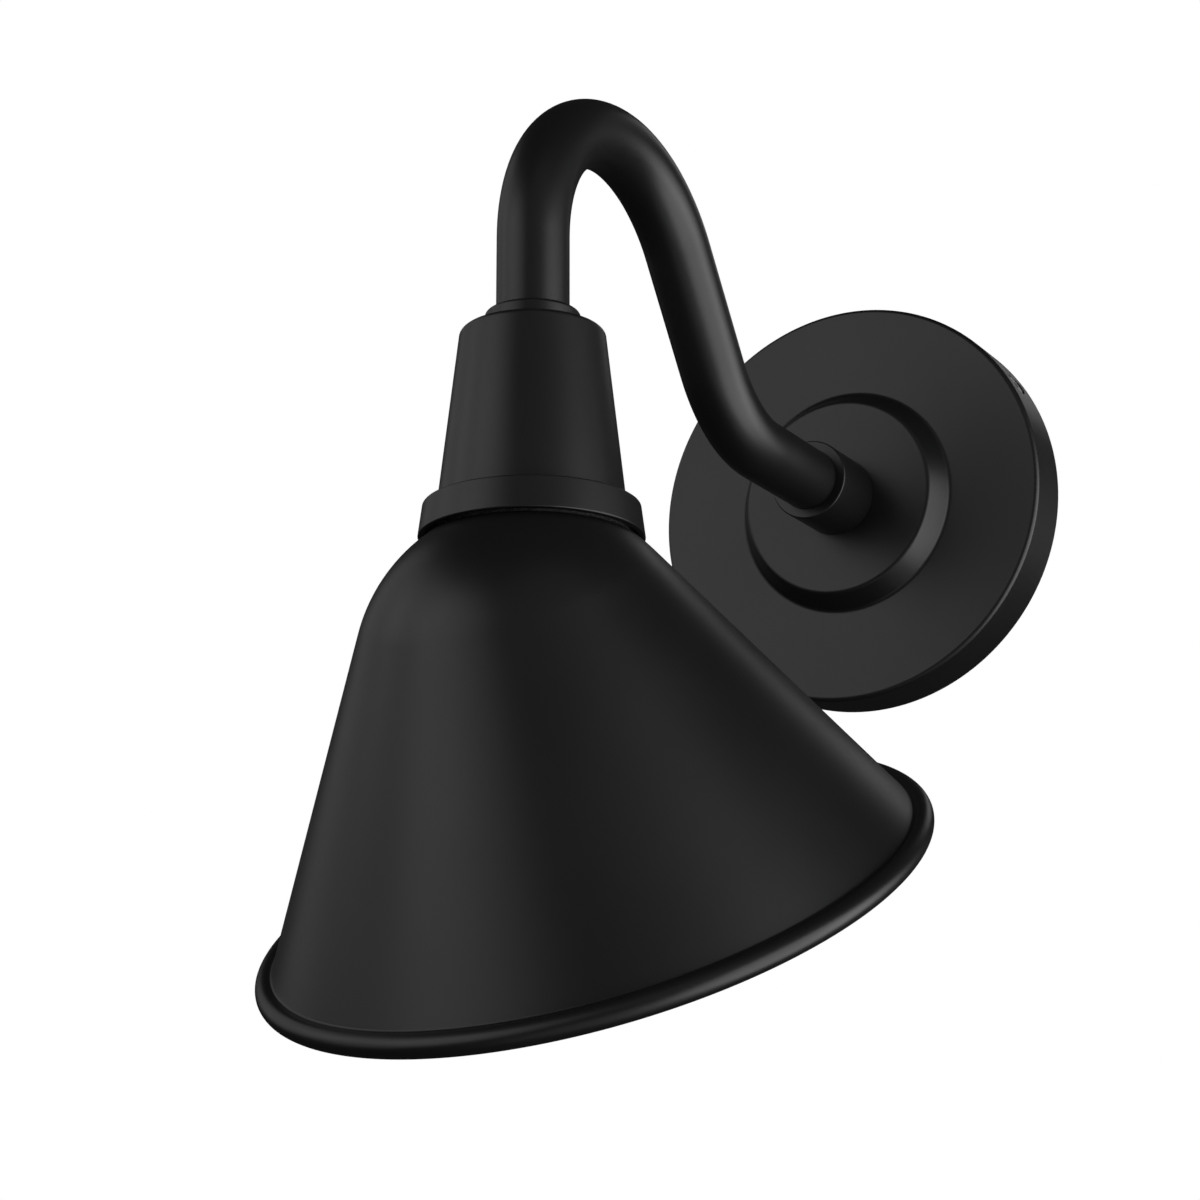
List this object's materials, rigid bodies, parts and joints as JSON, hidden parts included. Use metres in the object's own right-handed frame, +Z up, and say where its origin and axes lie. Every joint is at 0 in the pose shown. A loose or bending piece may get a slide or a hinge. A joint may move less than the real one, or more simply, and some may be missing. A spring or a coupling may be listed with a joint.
{
  "type": "outdoor gooseneck wall light",
  "caption": "Satin black wall light with a round wall plate, a gooseneck arm, a socket housing and a conical shade tilted towards the wall.",
  "frame": {"origin": "centre of the wall plate's back, on the wall plane", "axes": "+Y into the wall, so the light stands out along -Y; +Z up; +X to the right as seen from in front"},
  "size_m": [0.1766, 0.2548, 0.2671],
  "materials": {
    "black_paint": "satin black",
    "foam_rubber": "matt closed-cell foam",
    "zinc_steel": "bright zinc plated",
    "dark_steel": "plain steel",
    "green_screw": "green",
    "green_sheath": "extruded, satin",
    "brass": "plain",
    "porcelain": "glazed",
    "black_sheath": "extruded, satin",
    "white_sheath": "extruded, satin",
    "cream_plastic": "moulded",
    "opal_glass": "opal white",
    "cap_metal": "bright",
    "black_insulator": "vitrified"
  },
  "bodies": {
    "fixture": {"wall_plate": "black_paint", "wall_gasket": "foam_rubber", "mounting_ring": "zinc_steel", "rim_screws": "dark_steel", "ground_screw": "green_screw", "ground_lead": "green_sheath", "ground_ring": "brass", "arm_nipple": "brass", "arm_washer": "zinc_steel", "arm_nut": "zinc_steel", "arm_collar": "black_paint", "gooseneck_arm": "black_paint", "arm_end_plug": "zinc_steel", "head_nipple": "brass", "head_washer": "zinc_steel", "head_nut": "zinc_steel", "ferrule": "black_paint", "socket_housing": "black_paint", "shade_holder": "black_paint", "lampholder": "porcelain", "screw_shell": "brass", "centre_contact": "brass", "terminal_screws": "brass", "shade_gasket": "foam_rubber", "shade": "black_paint", "shade_ring": "zinc_steel", "black_lead": "black_sheath", "white_lead": "white_sheath", "wire_connectors": "cream_plastic"},
    "bulb": {"bulb_glass": "opal_glass", "bulb_cap": "cap_metal", "bulb_insulator": "black_insulator", "bulb_contact": "cap_metal"}
  },
  "joints": [
    {"name": "bulb_slide", "type": "slide", "parent": "fixture", "child": "bulb", "axis": [0, 0, -1], "range_m": [0, 0.155]}
  ]
}
